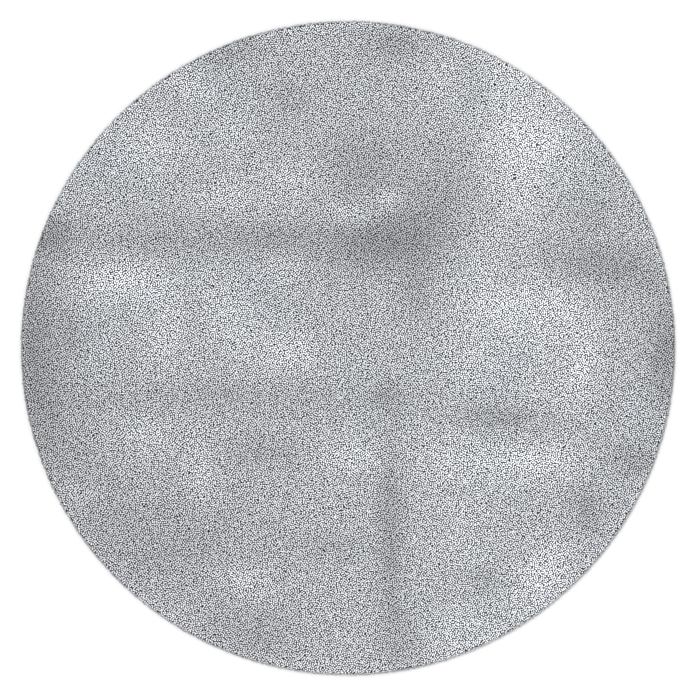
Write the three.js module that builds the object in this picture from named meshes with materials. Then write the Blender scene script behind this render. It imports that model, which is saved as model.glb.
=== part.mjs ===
// A round short pile rug, lying flat with its pile up.
//
// The rug is one piece of pile cloth cut to a circle: yarn ends stand close together on a
// thin woven ground, reach all the way to the rim and hide the cut edge. So it is one solid,
// turned from the section of its rim: a flat underside, a flank where the outermost yarns
// lean out over the ground, a soft shoulder where the clipped pile rounds over, and a flat top.
//
// Millimetres, +Z up. The origin is the middle of the underside, on the floor.

import * as THREE from "three";

// Driving dimensions.
const RUG_DIAMETER = 1600; // across the pile, rim to rim
const GROUND_THICKNESS = 3; // woven ground, with the yarn roots locked into it
const PILE_HEIGHT = 11; // cut yarn standing above the ground
const RIM_OVERHANG = 4; // how far the outermost yarns lean out past the ground's edge
const SHOULDER_WIDTH = 7; // how far in from the rim the clipped top starts to round over
const SHOULDER_SHARE = 0.55; // share of the pile height that the shoulder rounds off

// How finely the curves are cut into facets.
const FACETS_AROUND = 180;
const SHOULDER_STEPS = 7;

// Worked out from the driving dimensions.
const RUG_RADIUS = RUG_DIAMETER / 2;
const RUG_HEIGHT = GROUND_THICKNESS + PILE_HEIGHT;
const SHOULDER_DROP = PILE_HEIGHT * SHOULDER_SHARE;
const WIDEST_HEIGHT = RUG_HEIGHT - SHOULDER_DROP;

// The rim's section, from the middle of the underside round to the middle of the top.
// x is the distance from the rug's middle, y the height above the floor.
function rimSection() {
  const section = [
    new THREE.Vector2(0, 0),
    new THREE.Vector2(RUG_RADIUS - RIM_OVERHANG, 0),
  ];
  // A quarter of an ellipse carries the widest yarns over into the flat top.
  const shoulder = new THREE.EllipseCurve(
    RUG_RADIUS - SHOULDER_WIDTH,
    WIDEST_HEIGHT,
    SHOULDER_WIDTH,
    SHOULDER_DROP,
    0,
    Math.PI / 2,
  );
  section.push(...shoulder.getPoints(SHOULDER_STEPS));
  section.push(new THREE.Vector2(0, RUG_HEIGHT));
  return section;
}

// The whole rug, turned about +Z. LatheGeometry turns its section about +Y.
function rugGeometry() {
  const turned = new THREE.LatheGeometry(rimSection(), FACETS_AROUND);
  turned.rotateX(Math.PI / 2);
  return turned;
}

const pileYarn = new THREE.MeshStandardMaterial({
  name: "pile_yarn",
  color: new THREE.Color("#afb1b4"),
  roughness: 0.95,
  metalness: 0,
});

const rug = new THREE.Mesh(rugGeometry(), pileYarn);
rug.name = "rug";

const shortPileRug = new THREE.Group();
shortPileRug.name = "round_short_pile_rug";
shortPileRug.add(rug);

export default shortPileRug;
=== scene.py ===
"""A round short pile rug, lying flat with its pile up.

The rug is yarn sewn through a thin woven ground and clipped short. Here it is two things:
the round ground cloth, and the tufts of cut yarn that stand on it. The tufts crowd together
as cut yarn does, lean with the nap, and spill out past the ground at the rim.

Metres, +Z up. The origin is the middle of the underside, on the floor.
"""

import math
from collections import namedtuple

import bmesh
import bpy
import numpy as np
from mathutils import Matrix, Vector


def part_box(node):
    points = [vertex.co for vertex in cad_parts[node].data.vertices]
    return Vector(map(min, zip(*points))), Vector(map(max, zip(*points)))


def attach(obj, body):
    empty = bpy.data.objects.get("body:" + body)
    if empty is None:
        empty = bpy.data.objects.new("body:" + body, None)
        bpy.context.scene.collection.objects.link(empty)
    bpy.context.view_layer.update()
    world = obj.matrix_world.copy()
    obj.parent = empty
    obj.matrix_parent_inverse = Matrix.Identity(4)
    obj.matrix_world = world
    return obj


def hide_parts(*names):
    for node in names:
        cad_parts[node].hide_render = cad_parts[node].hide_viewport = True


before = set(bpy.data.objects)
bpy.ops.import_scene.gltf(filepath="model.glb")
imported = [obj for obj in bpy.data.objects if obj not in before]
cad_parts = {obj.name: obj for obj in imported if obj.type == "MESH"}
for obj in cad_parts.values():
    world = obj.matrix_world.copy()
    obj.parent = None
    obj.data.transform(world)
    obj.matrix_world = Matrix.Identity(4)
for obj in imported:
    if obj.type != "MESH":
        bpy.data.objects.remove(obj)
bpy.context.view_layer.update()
rug_low, rug_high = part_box("rug")

bl_info = {
    "name": "Round Short Pile Rug",
    "version": (1, 0, 0),
    "blender": (4, 5, 0),
    "location": "3D View > Sidebar > Rug",
    "description": "Lays a round rug's ground cloth, plants its cut pile and sets a plain stage",
    "category": "Object",
}

MM = 0.001
BODY = "root"
CAD_NODE = "rug"

RUG_RADIUS = (rug_high.x - rug_low.x) / 2
RUG_HEIGHT = rug_high.z - rug_low.z
FLOOR_LEVEL = rug_low.z

# The pile is made in strips, side by side, so that no piece grows too heavy.
PILE_STRIPS = 6
PILE_SEED = 1608
GROUND_STEPS = 240  # facets round the ground cloth

# The rows of tufts run slantwise and sway gently, and the tufts push each other apart.
ROW_TURN = 45  # degrees from +X
ROW_SWAYS = 16
SWAY_LENGTH = 90 * MM
SWAY_REACH = 1.6 * MM
ROWS_TO_SPARE = 60  # past the rim, so that no tuft there is pushed from one side only
PUSH_ROUNDS = 10
PUSH_SHARE = 0.25  # how much of an overlap is pushed out in one round
PUSH_REACH = 1.2  # in row spacings: tufts nearer than this push each other

# A tuft's outline from root to crown: how wide it is, as a share of its widest, and how far
# up the yarn. It is pinched where it is sewn in, and flares like a brush where it is cut.
TuftRing = namedtuple("TuftRing", "width height")
TUFT_OUTLINE = (
    TuftRing(width=0.00, height=0.00),
    TuftRing(width=1.00, height=0.87),
    TuftRing(width=0.00, height=1.00),
)
TUFT_SIDES = 5
TUFT_ASPECT = (1.06, 0.94)  # a cut end is a little longer one way than the other

# The plies of a cut end lie at different tilts. Its crown and most of its edge catch the
# light, and one side lies in shadow; this light and shadow is painted into the yarn's colour.
# These are painted shades at the crown and going round the edge, and they blend in between.
# Below 0, the painted shadow spreads further in, down to the deepest shade.
PAINTED_CROWN_SHADE = 1.4
PAINTED_PLY_SHADES = (1.9, -0.9, -0.9, 1.9, 2.2)
DEEPEST_PAINTED_SHADE = 0.12

# How much one tuft differs from the next.
SIZE_STRAY = 0.02
SIZE_LIMITS = (0.8, 1.2)
FRAY_STRAY = 0.06  # how unevenly an end frays round its edge
FRAY_LIMITS = (0.75, 1.25)
LEAN_STRAY = 0.3 * MM
HEIGHT_STRAY = 0.2 * MM
HEIGHT_SPARE = 0.2 * MM  # left free below the clipped top, so that tall tufts fit under it
HEIGHT_MOST_SHORT = 1 * MM
TIP_STRAY = 0.25 * MM  # how ragged the clipped ends are
ROOT_DEPTH = 1 * MM  # how deep in the ground cloth the yarn is held
BEND_POWER = 1.4  # above 1, yarn bends more near its root than near its tip
NAP_LEAN_BY_SHADE = 2  # lighter nap has been laid over further

# The outermost tufts stand in a ring of their own, so the rim is clean. Towards it the pile
# leans out, is clipped lower, and lies in its own shade, which is painted into its colour.
RING_INSET = 0.7  # from the rug's radius, as a share of half a tuft
RING_SPACING = 0.5  # as a share of the row spacing
RING_TO_ROWS = 0.6  # from the ring in to the rows, as a share of the row spacing
RING_UNEVEN = 0.12  # as a share of the ring's own spacing
RING_STRAY = 0.7 * MM
RING_MOST_STRAY = 1.5 * MM
RING_DEPTH = 1.6 * MM  # tufts no further in than this belong to the ring
RING_WIDENING = 0.12
RING_PAINTED_SHADOW = 0.42
RIM_WIDTH = 9 * MM
RIM_LEAN = 4 * MM
RIM_DROP = 3.5 * MM
RIM_PAINTED_SHADOW = 0.1

# How far from the middle of its cell in the colour map each ring of a tuft lies.
CELL_REACH = (0.47, 0.24, 0.00)

# Where feet, rolling up and brushing have laid the nap over, it catches the light otherwise;
# that light and shade is painted into the yarn's colour. A patch fades out softly.
# x, y, long and wide are in per cent of the rug's radius, turn is in degrees from +X, and
# shade is in per cent of painted light: above 0 the nap there is painted lighter, below 0 darker.
NapPatch = namedtuple("NapPatch", "x y long wide turn shade")
NAP_PATCHES = (
    # The brush mark above the middle, in painted shade, and what hangs on it.
    NapPatch(x=8, y=32, long=17, wide=9, turn=5, shade=-16),
    NapPatch(x=22, y=33, long=14, wide=9, turn=0, shade=-6),
    NapPatch(x=28, y=48, long=15, wide=10, turn=60, shade=-9),
    NapPatch(x=21, y=17, long=9, wide=5, turn=90, shade=-9),
    NapPatch(x=4, y=56, long=12, wide=10, turn=0, shade=-11),
    NapPatch(x=12, y=45, long=4, wide=3, turn=0, shade=12),
    NapPatch(x=1, y=41, long=7, wide=3, turn=0, shade=12),
    # The half on the right, painted light.
    NapPatch(x=55, y=64, long=15, wide=12, turn=20, shade=22),
    NapPatch(x=50, y=84, long=10, wide=8, turn=-40, shade=12),
    NapPatch(x=53, y=45, long=10, wide=9, turn=90, shade=10),
    NapPatch(x=42, y=27, long=10, wide=9, turn=90, shade=7),
    NapPatch(x=48, y=12, long=13, wide=8, turn=0, shade=18),
    NapPatch(x=66, y=13, long=9, wide=6, turn=-40, shade=11),
    NapPatch(x=72, y=-5, long=12, wide=5, turn=80, shade=15),
    NapPatch(x=38, y=-4, long=9, wide=9, turn=0, shade=9),
    NapPatch(x=60, y=2, long=9, wide=7, turn=0, shade=8),
    NapPatch(x=60, y=-12, long=9, wide=7, turn=0, shade=8),
    NapPatch(x=57, y=-35, long=15, wide=6, turn=0, shade=17),
    NapPatch(x=32, y=-34, long=11, wide=8, turn=0, shade=10),
    NapPatch(x=59, y=-70, long=11, wide=7, turn=60, shade=17),
    NapPatch(x=34, y=-56, long=12, wide=10, turn=90, shade=6),
    NapPatch(x=35, y=-88, long=12, wide=9, turn=0, shade=9),
    NapPatch(x=28, y=82, long=10, wide=6, turn=90, shade=7),
    # Marks in it, painted darker.
    NapPatch(x=46, y=-21, long=14, wide=4, turn=0, shade=-11),
    NapPatch(x=80, y=25, long=16, wide=6, turn=-10, shade=-14),
    NapPatch(x=74, y=40, long=8, wide=6, turn=0, shade=-5),
    NapPatch(x=98, y=-2, long=18, wide=7, turn=90, shade=-17),
    NapPatch(x=88, y=-34, long=10, wide=6, turn=0, shade=-11),
    NapPatch(x=73, y=-49, long=8, wide=6, turn=90, shade=-11),
    NapPatch(x=42, y=-71, long=6, wide=4, turn=0, shade=-8),
    # The crease below the middle, in painted shade and light.
    NapPatch(x=13, y=-55, long=28, wide=4, turn=90, shade=-14),
    NapPatch(x=17, y=-90, long=12, wide=7, turn=100, shade=-8),
    NapPatch(x=11, y=-15, long=6, wide=4, turn=0, shade=-9),
    NapPatch(x=2, y=-33, long=10, wide=5, turn=0, shade=11),
    # The left half: bands across, painted light above and painted shade below.
    NapPatch(x=-97, y=0, long=36, wide=10, turn=92, shade=-18),
    NapPatch(x=-84, y=4, long=6, wide=4, turn=90, shade=-8),
    NapPatch(x=-91, y=35, long=8, wide=6, turn=0, shade=-14),
    NapPatch(x=-48, y=33, long=38, wide=6, turn=0, shade=-8),
    NapPatch(x=-20, y=34, long=12, wide=4, turn=0, shade=-7),
    NapPatch(x=-69, y=20, long=13, wide=6, turn=0, shade=18),
    NapPatch(x=-56, y=6, long=12, wide=7, turn=90, shade=9),
    NapPatch(x=-35, y=8, long=14, wide=7, turn=110, shade=9),
    NapPatch(x=-18, y=-1, long=8, wide=6, turn=0, shade=14),
    NapPatch(x=-20, y=24, long=7, wide=5, turn=40, shade=6),
    NapPatch(x=-60, y=62, long=11, wide=9, turn=0, shade=11),
    NapPatch(x=-48, y=80, long=8, wide=5, turn=-40, shade=9),
    NapPatch(x=-35, y=65, long=7, wide=5, turn=90, shade=8),
    NapPatch(x=-37, y=46, long=9, wide=5, turn=0, shade=10),
    NapPatch(x=-17, y=51, long=9, wide=6, turn=0, shade=8),
    NapPatch(x=-35, y=91, long=10, wide=5, turn=20, shade=-10),
    NapPatch(x=-18, y=76, long=7, wide=6, turn=0, shade=-7),
    NapPatch(x=14, y=93, long=10, wide=5, turn=0, shade=-11),
    NapPatch(x=-40, y=-15, long=45, wide=5, turn=0, shade=-7),
    NapPatch(x=-62, y=-27, long=9, wide=7, turn=0, shade=6),
    NapPatch(x=-45, y=-40, long=9, wide=4, turn=90, shade=9),
    NapPatch(x=-82, y=-44, long=6, wide=4, turn=0, shade=7),
    NapPatch(x=-82, y=-38, long=24, wide=14, turn=110, shade=-7),
    NapPatch(x=-25, y=-32, long=12, wide=6, turn=0, shade=-8),
    NapPatch(x=-52, y=-60, long=27, wide=17, turn=0, shade=-9),
    NapPatch(x=-29, y=-87, long=16, wide=9, turn=0, shade=-9),
    NapPatch(x=-6, y=-61, long=10, wide=4, turn=0, shade=-7),
    NapPatch(x=-32, y=-71, long=9, wide=5, turn=-20, shade=10),
)

MIX_FACTOR, MIX_A, MIX_B, MIX_RESULT = 0, 6, 7, 2


def linear(code):
    """A colour written as an sRGB hex code, in the linear light that Blender works in."""
    parts = [int(code[i : i + 2], 16) / 255 for i in (1, 3, 5)]
    return tuple(c / 12.92 if c <= 0.04045 else ((c + 0.055) / 1.055) ** 2.4 for c in parts)


def opaque(colour):
    """A colour with its full cover, as a node's colour socket takes it."""
    return (*colour, 1.0)


# ---------------------------------------------------------------------------- settings


class RugGroundSettings(bpy.types.PropertyGroup):
    """The woven cloth that the yarn is sewn through."""

    thickness: bpy.props.FloatProperty(
        name="Thickness",
        description="Thickness of the woven ground, with the yarn roots locked in it",
        default=3 * MM,
        min=1 * MM,
        max=6 * MM,
        unit="LENGTH",
        subtype="DISTANCE",
    )
    setback: bpy.props.FloatProperty(
        name="Set Back",
        description="How far the ground's cut edge stays inside the rim of the pile",
        default=4 * MM,
        min=0,
        max=10 * MM,
        unit="LENGTH",
        subtype="DISTANCE",
    )
    thread_pitch: bpy.props.FloatProperty(
        name="Thread Pitch",
        description="Distance from one thread of the weave to the next",
        default=2.5 * MM,
        min=1 * MM,
        max=8 * MM,
        unit="LENGTH",
        subtype="DISTANCE",
    )
    colour: bpy.props.FloatVectorProperty(
        name="Thread Colour",
        description="Colour of the ground's threads",
        default=linear("#A3A3A1"),
        size=3,
        min=0,
        max=1,
        subtype="COLOR",
    )


class RugPileSettings(bpy.types.PropertyGroup):
    """The cut yarn that stands on the ground."""

    spacing: bpy.props.FloatProperty(
        name="Tuft Spacing",
        description="Distance from one tuft to the next in its row, before they crowd",
        default=5.0 * MM,
        min=4.3 * MM,
        max=12 * MM,
        unit="LENGTH",
        subtype="DISTANCE",
    )
    tuft_width: bpy.props.FloatProperty(
        name="Tuft Width",
        description="Width of a tuft where its cut end flares out",
        default=5.15 * MM,
        min=2 * MM,
        max=10 * MM,
        unit="LENGTH",
        subtype="DISTANCE",
    )
    nap_lean: bpy.props.FloatProperty(
        name="Nap Lean",
        description="How far the tips lie over to one side, as the nap runs",
        default=1.2 * MM,
        min=0,
        max=5 * MM,
        unit="LENGTH",
        subtype="DISTANCE",
    )
    # The laid-over patches of the nap show as painted light and shade in the yarn's colour.
    nap_painted_shading: bpy.props.FloatProperty(
        name="Nap Shading",
        description="How strongly the laid-over patches of the nap show",
        default=2.0,
        min=0,
        max=4,
        subtype="FACTOR",
    )
    yarn_variation: bpy.props.FloatProperty(
        name="Yarn Variation",
        description="How much lighter or darker one tuft is than the next",
        default=0.01,
        min=0,
        max=0.5,
        subtype="FACTOR",
    )
    tip_colour: bpy.props.FloatVectorProperty(
        name="Tip Colour",
        description="Colour of the yarn at its cut ends",
        default=linear("#ABACAF"),
        size=3,
        min=0,
        max=1,
        subtype="COLOR",
    )
    # Painted shade: the yarn down in the pile is the same yarn as at the tips, drawn this dark for
    # the shade that falls between the tufts.
    painted_root_shade: bpy.props.FloatVectorProperty(
        name="Root Colour",
        description="Colour of the yarn down in the pile",
        default=linear("#2C2E30"),
        size=3,
        min=0,
        max=1,
        subtype="COLOR",
    )


class RugStageSettings(bpy.types.PropertyGroup):
    """The floor, the lights and the camera."""

    margin: bpy.props.FloatProperty(
        name="Margin",
        description="How much wider the view is than the rug",
        default=0.0629,
        min=0,
        max=1,
        subtype="FACTOR",
    )
    lens: bpy.props.FloatProperty(
        name="Lens",
        description="Focal length of the camera above the rug",
        default=100,
        min=35,
        max=200,
        unit="CAMERA",
    )
    sky_strength: bpy.props.FloatProperty(
        name="Fill Light",
        description="Strength of the even light from all round",
        default=1.45,
        min=0,
        max=5,
    )
    key_power: bpy.props.FloatProperty(
        name="Key Light",
        description="Strength of the large soft lamp high above the rug",
        default=2.74,
        min=0,
        max=20,
    )
    floor_colour: bpy.props.FloatVectorProperty(
        name="Floor Colour",
        description="Colour of the studio floor",
        default=linear("#B8B8B8"),
        size=3,
        min=0,
        max=1,
        subtype="COLOR",
    )


# ---------------------------------------------------------------------------- materials


def add_node(tree, kind, settings=None, inputs=None):
    """Adds a node, gives it its settings, and fills or links its inputs."""
    added = tree.nodes.new(kind)
    for name, value in (settings or {}).items():
        setattr(added, name, value)
    for name, value in (inputs or {}).items():
        if isinstance(value, bpy.types.NodeSocket):
            tree.links.new(value, added.inputs[name])
        else:
            added.inputs[name].default_value = value
    return added


def new_material(name):
    """An empty material, and its nodes."""
    material = bpy.data.materials.new(name)
    material.use_nodes = True
    material.node_tree.nodes.clear()
    return material, material.node_tree


def cut_yarn_material(pile):
    """Heat-set polyester yarn, cut. Matt, soft at the edges, pale at the tips, painted deep in
    shade between, with painted light and shade on its ends, nap and rim.
    """
    material, tree = new_material("cut polyester pile yarn")
    place = add_node(tree, "ShaderNodeTexCoord").outputs["Object"]
    up_yarn = add_node(tree, "ShaderNodeAttribute", {"attribute_name": "up_yarn"})
    shade = add_node(tree, "ShaderNodeAttribute", {"attribute_name": "painted_shade_and_yarn_tone"})

    # The yarn is painted darker from its cut end down, as shade deep in the pile.
    painted_depth_shade = add_node(
        tree,
        "ShaderNodeMapRange",
        {"interpolation_type": "SMOOTHSTEP"},
        {"Value": up_yarn.outputs["Fac"], "From Min": 0.6, "From Max": 1.0},
    )
    yarn = add_node(
        tree,
        "ShaderNodeMix",
        {"data_type": "RGBA"},
        {
            MIX_FACTOR: painted_depth_shade.outputs["Result"],
            MIX_A: opaque(pile.painted_root_shade),
            MIX_B: opaque(pile.tip_colour),
        },
    )

    # Dye takes up a little unevenly from one part of the rug to another.
    dye = add_node(
        tree,
        "ShaderNodeTexNoise",
        inputs={"Vector": place, "Scale": 1 / (260 * MM), "Detail": 2.0},
    )
    dyed = add_node(
        tree,
        "ShaderNodeMix",
        {"data_type": "RGBA", "blend_type": "MULTIPLY"},
        {
            MIX_FACTOR: dye.outputs["Fac"],
            MIX_A: yarn.outputs[MIX_RESULT],
            MIX_B: (0.97, 1.0, 1.02, 1.0),
        },
    )

    # Fibre ends are 0.3 mm across; they are drawn 2.8 mm across, so that they show at all.
    fibres = add_node(
        tree,
        "ShaderNodeTexNoise",
        inputs={"Vector": place, "Scale": 1 / (2.8 * MM), "Detail": 1.0, "Roughness": 0.5},
    )
    fleck = add_node(
        tree,
        "ShaderNodeMapRange",
        inputs={
            "Value": fibres.outputs["Fac"],
            "From Min": 0.25,
            "From Max": 0.75,
            "To Min": 0.9,
            "To Max": 1.1,
        },
    )
    # The painted light and shade of the ends, the nap and the rim, flecked by the fibres and kept
    # above the deepest shade.
    flecked_painted_shade = add_node(
        tree,
        "ShaderNodeMath",
        {"operation": "MULTIPLY"},
        {0: fleck.outputs["Result"], 1: shade.outputs["Fac"]},
    )
    kept_painted_shade = add_node(
        tree,
        "ShaderNodeMath",
        {"operation": "MAXIMUM"},
        {0: flecked_painted_shade.outputs["Value"], 1: DEEPEST_PAINTED_SHADE},
    )
    colour = add_node(
        tree,
        "ShaderNodeVectorMath",
        {"operation": "SCALE"},
        {0: dyed.outputs[MIX_RESULT], "Scale": kept_painted_shade.outputs["Value"]},
    )
    roughness = add_node(
        tree,
        "ShaderNodeMapRange",
        inputs={"Value": fibres.outputs["Fac"], "To Min": 0.82, "To Max": 0.98},
    )
    bump = add_node(
        tree,
        "ShaderNodeBump",
        inputs={"Height": fibres.outputs["Fac"], "Distance": 0.5 * MM, "Strength": 0.6},
    )
    surface = add_node(
        tree,
        "ShaderNodeBsdfPrincipled",
        inputs={
            "Base Color": colour.outputs["Vector"],
            "Roughness": roughness.outputs["Result"],
            "Normal": bump.outputs["Normal"],
            "IOR": 1.55,
            "Specular IOR Level": 0.25,
            "Sheen Weight": 0.15,
            "Sheen Roughness": 0.5,
        },
    )
    add_node(tree, "ShaderNodeOutputMaterial", inputs={"Surface": surface.outputs["BSDF"]})
    return material


def woven_ground_material(ground):
    """Plain-woven polypropylene tape, with the locking coat soaked in. Dull, with a low weave."""
    material, tree = new_material("woven polypropylene ground")
    place = add_node(tree, "ShaderNodeTexCoord").outputs["Object"]
    pitch = ground.thread_pitch
    one_band = 2 * math.pi / 20  # a Wave texture at scale 1 has a band this long, in metres
    threads = [
        add_node(
            tree,
            "ShaderNodeTexWave",
            {"wave_type": "BANDS", "bands_direction": way, "wave_profile": "SIN"},
            {"Vector": place, "Scale": one_band / pitch, "Distortion": 0.6, "Detail Scale": 2.0},
        )
        for way in ("X", "Y")
    ]
    over_under = add_node(
        tree, "ShaderNodeTexChecker", inputs={"Vector": place, "Scale": 1 / pitch}
    )
    weave = add_node(
        tree,
        "ShaderNodeMix",
        {"data_type": "FLOAT"},
        {
            0: over_under.outputs["Fac"],
            2: threads[0].outputs["Fac"],
            3: threads[1].outputs["Fac"],
        },
    )
    # Each thread is painted lighter along its crown and in shade at its sides, as light falls on a
    # low weave.
    thread_painted_light = add_node(
        tree,
        "ShaderNodeMapRange",
        inputs={"Value": weave.outputs[0], "To Min": 0.55, "To Max": 1.05},
    )
    # Between the yarns' feet its upper side is painted in deep shade.
    height = add_node(tree, "ShaderNodeSeparateXYZ", inputs={"Vector": place})
    painted_top_shade = add_node(
        tree,
        "ShaderNodeMapRange",
        inputs={
            "Value": height.outputs["Z"],
            "From Min": FLOOR_LEVEL + ground.thickness * 0.8,
            "From Max": FLOOR_LEVEL + ground.thickness * 0.9,
            "To Min": 1.0,
            "To Max": 0.12,
        },
    )
    painted_weave_and_top_shade = add_node(
        tree,
        "ShaderNodeMath",
        {"operation": "MULTIPLY"},
        {0: thread_painted_light.outputs["Result"], 1: painted_top_shade.outputs["Result"]},
    )
    colour = add_node(
        tree,
        "ShaderNodeVectorMath",
        {"operation": "SCALE"},
        {0: tuple(ground.colour), "Scale": painted_weave_and_top_shade.outputs["Value"]},
    )
    roughness = add_node(
        tree,
        "ShaderNodeMapRange",
        inputs={"Value": weave.outputs[0], "To Min": 0.9, "To Max": 0.65},
    )
    bump = add_node(
        tree,
        "ShaderNodeBump",
        inputs={"Height": weave.outputs[0], "Distance": 0.4 * MM, "Strength": 0.8},
    )
    surface = add_node(
        tree,
        "ShaderNodeBsdfPrincipled",
        inputs={
            "Base Color": colour.outputs["Vector"],
            "Roughness": roughness.outputs["Result"],
            "Normal": bump.outputs["Normal"],
            "IOR": 1.49,
        },
    )
    add_node(tree, "ShaderNodeOutputMaterial", inputs={"Surface": surface.outputs["BSDF"]})
    return material


def studio_floor_material(colour):
    """Matt white studio floor, with the faintest tooth."""
    material, tree = new_material("matt studio floor")
    place = add_node(tree, "ShaderNodeTexCoord").outputs["Object"]
    tooth = add_node(
        tree, "ShaderNodeTexNoise", inputs={"Vector": place, "Scale": 1 / (4 * MM), "Detail": 2.0}
    )
    bump = add_node(
        tree,
        "ShaderNodeBump",
        inputs={"Height": tooth.outputs["Fac"], "Distance": 0.05 * MM, "Strength": 0.2},
    )
    surface = add_node(
        tree,
        "ShaderNodeBsdfPrincipled",
        inputs={
            "Base Color": opaque(colour),
            "Roughness": 0.95,
            "Specular IOR Level": 0.1,
            "Normal": bump.outputs["Normal"],
        },
    )
    add_node(tree, "ShaderNodeOutputMaterial", inputs={"Surface": surface.outputs["BSDF"]})
    return material


# ---------------------------------------------------------------------------- shapes


def turned(outline, steps):
    """A bmesh turned about +Z from an outline of (distance from the axis, height) points."""
    shape = bmesh.new()
    points = [shape.verts.new((out, 0, up)) for out, up in outline]
    edges = [shape.edges.new(pair) for pair in zip(points, points[1:])]
    bmesh.ops.spin(
        shape,
        geom=points + edges,
        axis=(0, 0, 1),
        cent=(0, 0, 0),
        angle=2 * math.pi,
        steps=steps,
        use_merge=True,
    )
    bmesh.ops.remove_doubles(shape, verts=shape.verts, dist=1e-6)
    bmesh.ops.dissolve_degenerate(shape, edges=shape.edges, dist=1e-6)
    bmesh.ops.recalc_face_normals(shape, faces=shape.faces)
    return shape


def fixed_order(shape):
    """Numbers the points, edges and faces by place, so that every run gives the same mesh."""
    for number, point in enumerate(sorted(shape.verts, key=lambda point: tuple(point.co))):
        point.index = number
    shape.verts.sort()
    for parts in (shape.edges, shape.faces):
        by_points = sorted(parts, key=lambda part: sorted(point.index for point in part.verts))
        for number, part in enumerate(by_points):
            part.index = number
        parts.sort()


def finish_object(mesh, name, material):
    """Shows a finished mesh as a piece of the rug."""
    mesh.materials.append(material)
    piece = bpy.data.objects.new(name, mesh)
    bpy.context.scene.collection.objects.link(piece)
    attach(piece, BODY)
    return piece


def make_ground(ground):
    """The round ground cloth, a thin sheet with a slightly rounded cut edge."""
    radius = RUG_RADIUS - ground.setback
    edge = ground.thickness / 4
    outline = [
        (0, FLOOR_LEVEL),
        (radius / 2, FLOOR_LEVEL),
        (radius - edge, FLOOR_LEVEL),
        (radius, FLOOR_LEVEL + edge),
        (radius, FLOOR_LEVEL + ground.thickness - edge),
        (radius - edge, FLOOR_LEVEL + ground.thickness),
        (radius / 2, FLOOR_LEVEL + ground.thickness),
        (0, FLOOR_LEVEL + ground.thickness),
    ]
    shape = turned(outline, steps=GROUND_STEPS)
    fixed_order(shape)
    mesh = bpy.data.meshes.new("ground")
    shape.to_mesh(mesh)
    shape.free()
    piece = finish_object(mesh, "ground", woven_ground_material(ground))
    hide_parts(CAD_NODE)
    return piece


def sewn_places(radius, pitch, rng):
    """Places inside a circle, in rows that wander and crowd as tufted rows do.

    They start as a plain square grid, turned. The rows are swayed, every place strays at
    random, and then neighbours that have come too near push each other apart.
    """
    across = 2 * math.ceil(radius / pitch) + ROWS_TO_SPARE
    grid = np.stack(np.meshgrid(*[np.arange(across) - across / 2] * 2, indexing="ij"), -1)
    place = (grid + rng.random(grid.shape)) * pitch
    turn = math.radians(ROW_TURN)
    place = place @ np.array([[math.cos(turn), math.sin(turn)], [-math.sin(turn), math.cos(turn)]])
    for way, phase in rng.random((ROW_SWAYS, 2)) * 2 * math.pi:
        along = np.array([math.cos(way), math.sin(way)])
        sway = np.sin(place @ along * 2 * math.pi / SWAY_LENGTH + phase)
        place = place + SWAY_REACH * sway[..., None] * (-along[1], along[0])
    near = [(i, j) for i in range(-2, 3) for j in range(-2, 3) if (i, j) != (0, 0)]
    reach = pitch * PUSH_REACH
    for _ in range(PUSH_ROUNDS):
        push = np.zeros_like(place)
        for step in near:
            apart = place - np.roll(place, step, (0, 1))
            far = np.hypot(apart[..., 0], apart[..., 1])[..., None]
            push += apart / far * np.clip(reach - far, 0, None)
        place += push * PUSH_SHARE
    place = place.reshape(-1, 2)
    return place[np.hypot(place[:, 0], place[:, 1]) < radius]


def painted_nap_shade(places):
    """How much lighter or darker the nap's painted light and shade makes each place, as a share.
    """
    shade = np.zeros(len(places))
    for patch in NAP_PATCHES:
        turn = math.radians(patch.turn)
        away = places / RUG_RADIUS * 100 - (patch.x, patch.y)
        along = away @ (math.cos(turn), math.sin(turn)) / patch.long
        across = away @ (-math.sin(turn), math.cos(turn)) / patch.wide
        shade += patch.shade / 100 * np.exp(-(along**2) - across**2)
    return shade


def one_tuft():
    """A tuft's points, their faces, and where each face corner lies in the tuft's map cell.

    In the cell the tuft is opened out like a flower: its crown in the middle, its flanks
    round it, and its root at the tips of the petals.
    """
    shape = turned(TUFT_OUTLINE, TUFT_SIDES)
    bmesh.ops.triangulate(shape, faces=shape.faces)
    shape.verts.ensure_lookup_table()
    points = np.array([point.co for point in shape.verts])
    faces = np.array([[point.index for point in face.verts] for face in shape.faces])
    shape.free()
    heights = [ring.height for ring in TUFT_OUTLINE]
    reach = np.interp(points[:, 2], heights, CELL_REACH)[faces]
    around = points[faces][..., :2]
    outward = around.sum(1, keepdims=True)
    on_axis = np.hypot(around[..., 0], around[..., 1]) < 1e-6
    around = np.where(on_axis[..., None], outward, around)
    around /= np.linalg.norm(around, axis=-1, keepdims=True)
    return points, faces, around * reach[..., None]


def joined_mesh(name, points, faces, map_places, shares):
    """One smooth mesh from arrays: its points, its three-sided faces, map and point shares."""
    mesh = bpy.data.meshes.new(name)
    mesh.vertices.add(len(points))
    mesh.vertices.foreach_set("co", points.astype(np.float32).ravel())
    mesh.loops.add(faces.size)
    mesh.loops.foreach_set("vertex_index", faces.astype(np.int32).ravel())
    mesh.polygons.add(len(faces))
    mesh.polygons.foreach_set("loop_start", np.arange(0, faces.size, 3, dtype=np.int32))
    mesh.update(calc_edges=True)
    mesh.shade_smooth()
    colour_map = mesh.uv_layers.new(name="OFBake")
    colour_map.uv.foreach_set("vector", map_places.astype(np.float32).ravel())
    for share, values in shares.items():
        held = mesh.attributes.new(share, "FLOAT", "POINT")
        held.data.foreach_set("value", values.astype(np.float32).ravel())
    return mesh


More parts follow.
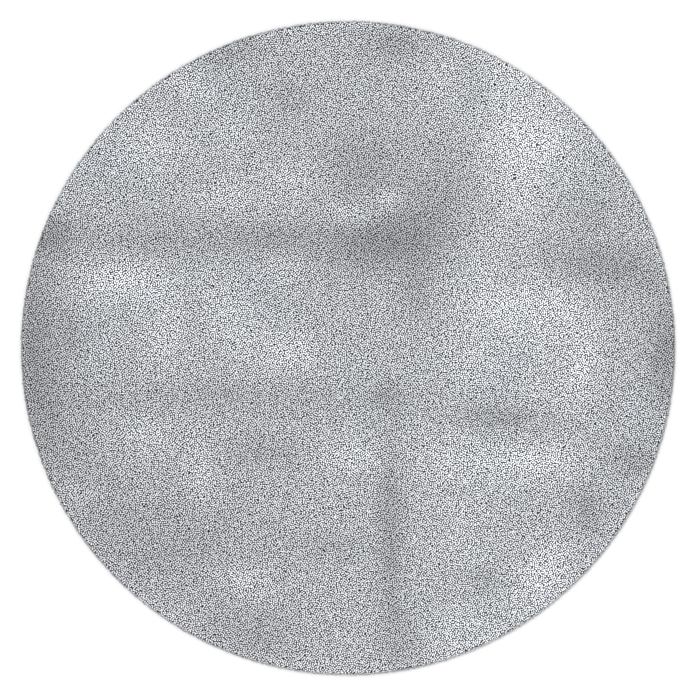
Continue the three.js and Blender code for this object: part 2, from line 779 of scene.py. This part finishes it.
def tuft_places(pile, ring_radius, rng):
    """Where the tufts' cut ends lie: a ring round the rim, and sewn rows inside it."""
    ring_count = int(2 * math.pi * ring_radius / (pile.spacing * RING_SPACING))
    uneven = rng.uniform(-RING_UNEVEN, RING_UNEVEN, ring_count)
    ring_turn = (np.arange(ring_count) + uneven) * 2 * math.pi / ring_count
    stray = rng.normal(0, RING_STRAY, ring_count).clip(-RING_MOST_STRAY, RING_MOST_STRAY)
    ring = (ring_radius + stray)[:, None] * np.stack([np.cos(ring_turn), np.sin(ring_turn)], -1)
    inner = sewn_places(ring_radius - pile.spacing * RING_TO_ROWS, pile.spacing, rng)
    tips = np.concatenate([ring, inner])
    return tips[np.argsort(tips[:, 0])]


def spread_ends(tips, points, half_tuft, outermost, rng):
    """How far each point of each tuft lies from its tuft's middle, seen from above."""
    count = len(tips)
    turn = rng.uniform(0, 2 * math.pi, count)
    size = rng.normal(1, SIZE_STRAY, count).clip(*SIZE_LIMITS) + RING_WIDENING * outermost
    fray = rng.normal(1, FRAY_STRAY, (count, len(points))).clip(*FRAY_LIMITS)
    flat = points[:, :2] * half_tuft * TUFT_ASPECT
    cos, sin = np.cos(turn)[:, None], np.sin(turn)[:, None]
    turned_flat = [cos * flat[:, 0] - sin * flat[:, 1], sin * flat[:, 0] + cos * flat[:, 1]]
    return (size[:, None] * fray)[..., None] * np.stack(turned_flat, -1)


def stand_tufts(pile, tips, points, spread, shade, rim, ground_top, rng):
    """The points of all the tufts, leaning with the nap, or outwards at the rim."""
    count = len(tips)
    out = np.hypot(tips[:, 0], tips[:, 1])
    with_nap = (0, -1) * (pile.nap_lean * (1 + NAP_LEAN_BY_SHADE * shade[:, None]))
    lean = rng.normal(0, LEAN_STRAY, (count, 2)) + with_nap
    lean = lean * (1 - rim[:, None]) + tips / out[:, None] * (rim * RIM_LEAN)[:, None]
    stray = rng.normal(0, HEIGHT_STRAY, count).clip(-HEIGHT_MOST_SHORT, HEIGHT_SPARE)
    height = RUG_HEIGHT - ground_top - HEIGHT_SPARE + stray
    height -= rim**2 * RIM_DROP

    up = points[:, 2]
    ragged = np.where(up > 0.5, rng.normal(0, TIP_STRAY, (count, len(points))), 0)
    level = up * height[:, None] + ground_top - ROOT_DEPTH * (1 - up) + ragged
    bend = 1 - up**BEND_POWER
    place = tips[:, None] + spread - lean[:, None] * bend[None, :, None]
    all_points = np.concatenate([place, level[..., None]], -1)
    all_points[..., 2] = all_points[..., 2].clip(None, RUG_HEIGHT)
    return all_points


def paint_light_on_ends(pile, points, shade, rim, outermost, rng):
    """How light each point of each tuft is painted: the painted light and shade of its nap and the
    rim, times that of its place on the end, and a little tone of its own.
    """
    count = len(shade)
    edge = np.hypot(points[:, 0], points[:, 1]) > 0.5
    painted_ply_light = np.full((count, len(points)), PAINTED_CROWN_SHADE)
    order = np.argsort(np.argsort(np.arctan2(points[edge, 1], points[edge, 0])))
    painted_ply_light[:, edge] = np.array(PAINTED_PLY_SHADES)[order]
    painted_rim_shade = 1 - RIM_PAINTED_SHADOW * rim - RING_PAINTED_SHADOW * outermost
    tuft_tone_and_painted_shade = (1 + shade) * painted_rim_shade * rng.normal(1, pile.yarn_variation, count)
    return tuft_tone_and_painted_shade[:, None] * painted_ply_light


def make_pile(pile, ground_top):
    """Plants the tufts, and joins them into strips."""
    rng = np.random.default_rng(PILE_SEED)
    half_tuft = pile.tuft_width / 2
    points, faces, cell_map = one_tuft()

    ring_radius = RUG_RADIUS - half_tuft * RING_INSET
    tips = tuft_places(pile, ring_radius, rng)
    out = np.hypot(tips[:, 0], tips[:, 1])
    outermost = out > ring_radius - RING_DEPTH
    rim = np.clip((out - ring_radius) / RIM_WIDTH + 1, 0, 1)
    shade = painted_nap_shade(tips) * pile.nap_painted_shading

    spread = spread_ends(tips, points, half_tuft, outermost, rng)
    all_points = stand_tufts(pile, tips, points, spread, shade, rim, ground_top, rng)
    painted_shade_and_yarn_tone = paint_light_on_ends(pile, points, shade, rim, outermost, rng)

    material = cut_yarn_material(pile)
    pieces = []
    for number, strip in enumerate(np.array_split(np.arange(len(tips)), PILE_STRIPS), 1):
        cells = math.ceil(math.sqrt(len(strip)))
        cell_middle = np.stack(np.divmod(np.arange(len(strip)), cells), -1) + 0.5
        first_points = np.arange(len(strip))[:, None, None] * len(points)
        mesh = joined_mesh(
            f"pile_strip_{number}",
            all_points[strip].reshape(-1, 3),
            (faces + first_points).reshape(-1, 3),
            (cell_middle[:, None, None] + cell_map) / cells,
            {
                "up_yarn": np.tile(points[:, 2], len(strip)),
                "painted_shade_and_yarn_tone": painted_shade_and_yarn_tone[strip].ravel(),
            },
        )
        pieces.append(finish_object(mesh, mesh.name, material))
    return pieces


# ---------------------------------------------------------------------------- operators


class RUG_OT_lay_ground(bpy.types.Operator):
    """Lays the round woven ground cloth on the floor"""

    bl_idname = "rug.lay_ground"
    bl_label = "Lay Ground Cloth"

    def execute(self, context):
        make_ground(context.scene.rug_ground)
        return {"FINISHED"}


class RUG_OT_plant_pile(bpy.types.Operator):
    """Plants the tufts of cut yarn on the ground cloth"""

    bl_idname = "rug.plant_pile"
    bl_label = "Plant Pile"

    def execute(self, context):
        ground = context.scene.rug_ground
        tufts = make_pile(context.scene.rug_pile, FLOOR_LEVEL + ground.thickness)
        return {"FINISHED"}


class RUG_OT_set_stage(bpy.types.Operator):
    """Sets the plain floor, the soft light and the camera straight above the rug"""

    bl_idname = "rug.set_stage"
    bl_label = "Set Stage"

    def execute(self, context):
        scene = context.scene
        stage = scene.rug_stage

        shape = bmesh.new()
        bmesh.ops.create_grid(shape, x_segments=2, y_segments=2, size=12)
        bmesh.ops.translate(shape, verts=shape.verts, vec=(0, 0, FLOOR_LEVEL - 0.1 * MM))
        mesh = bpy.data.meshes.new("studio_floor")
        shape.to_mesh(mesh)
        shape.free()
        mesh.materials.append(studio_floor_material(stage.floor_colour))
        floor = bpy.data.objects.new("studio_floor", mesh)
        scene.collection.objects.link(floor)

        world = bpy.data.worlds.new("soft_studio")
        world.use_nodes = True
        world.node_tree.nodes["Background"].inputs["Strength"].default_value = stage.sky_strength
        world.node_tree.nodes["Background"].inputs["Color"].default_value = (1, 1, 1, 1)
        scene.world = world

        lamp = bpy.data.lights.new("key_lamp", "SUN")
        lamp.angle = math.radians(40)
        lamp.energy = stage.key_power
        key = bpy.data.objects.new("key_lamp", lamp)
        key.location = (-0.8, 1.0, 3.6)
        key.rotation_euler = (-key.location).to_track_quat("-Z", "Y").to_euler()
        scene.collection.objects.link(key)

        eye = bpy.data.cameras.new("camera")
        eye.lens = stage.lens
        half_view = RUG_RADIUS * (1 + stage.margin)
        rise = half_view * eye.lens / (eye.sensor_width / 2)
        camera = bpy.data.objects.new("camera", eye)
        camera.location = (0, 0, RUG_HEIGHT + rise)
        scene.collection.objects.link(camera)
        scene.camera = camera
        scene.view_settings.view_transform = "Standard"
        return {"FINISHED"}


class RUG_PT_sidebar(bpy.types.Panel):
    """The rug's tools and settings"""

    bl_label = "Round Rug"
    bl_idname = "RUG_PT_sidebar"
    bl_space_type = "VIEW_3D"
    bl_region_type = "UI"
    bl_category = "Rug"

    def draw(self, context):
        for operator, settings in (
            (RUG_OT_lay_ground, context.scene.rug_ground),
            (RUG_OT_plant_pile, context.scene.rug_pile),
            (RUG_OT_set_stage, context.scene.rug_stage),
        ):
            box = self.layout.box()
            for name in settings.__annotations__:
                box.prop(settings, name)
            box.operator(operator.bl_idname)


SETTINGS = {
    "rug_ground": RugGroundSettings,
    "rug_pile": RugPileSettings,
    "rug_stage": RugStageSettings,
}
CLASSES = (
    *SETTINGS.values(),
    RUG_OT_lay_ground,
    RUG_OT_plant_pile,
    RUG_OT_set_stage,
    RUG_PT_sidebar,
)


def register():
    for each in CLASSES:
        bpy.utils.register_class(each)
    for name, group in SETTINGS.items():
        setattr(bpy.types.Scene, name, bpy.props.PointerProperty(type=group))


def unregister():
    for name in SETTINGS:
        delattr(bpy.types.Scene, name)
    for each in reversed(CLASSES):
        bpy.utils.unregister_class(each)


def main():
    """Makes the rug and its stage."""
    register()
    bpy.ops.rug.lay_ground()
    bpy.ops.rug.plant_pile()
    bpy.ops.rug.set_stage()


if __name__ == "__main__":
    main()
